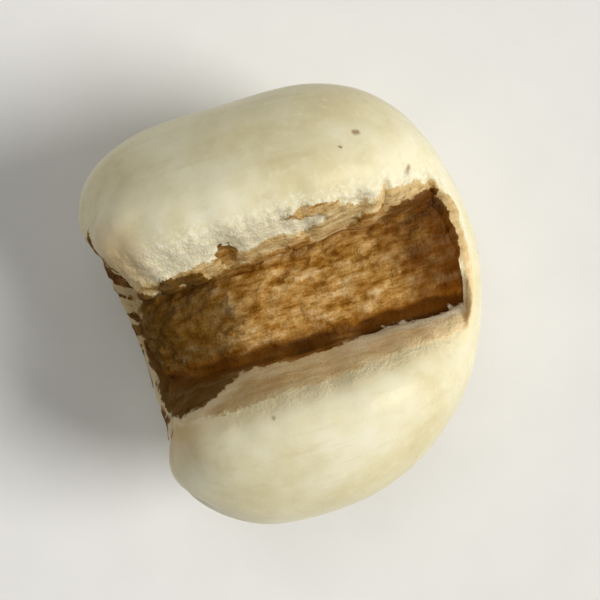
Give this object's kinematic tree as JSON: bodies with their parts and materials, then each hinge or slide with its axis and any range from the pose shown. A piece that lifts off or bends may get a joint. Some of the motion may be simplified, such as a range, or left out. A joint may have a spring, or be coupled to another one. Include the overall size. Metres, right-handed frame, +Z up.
{
  "type": "adlay seed",
  "caption": "Hulled adlay kernel, a plump grain with a deep brown-lined groove between two lobes and a pit at its base, for cooking or sowing displays.",
  "frame": {"origin": "on the small flat spot of the back that the kernel rests on, under the middle of its box", "axes": "+Z up out of the groove, +Y along the groove from the base with its scar to the apex, +X across the lobes towards the lobe with the cleaner lip"},
  "size_m": [0.0062, 0.0054, 0.005],
  "materials": {
    "kernel": "satin"
  },
  "bodies": {
    "root": {"seed": "kernel"}
  },
  "joints": []
}
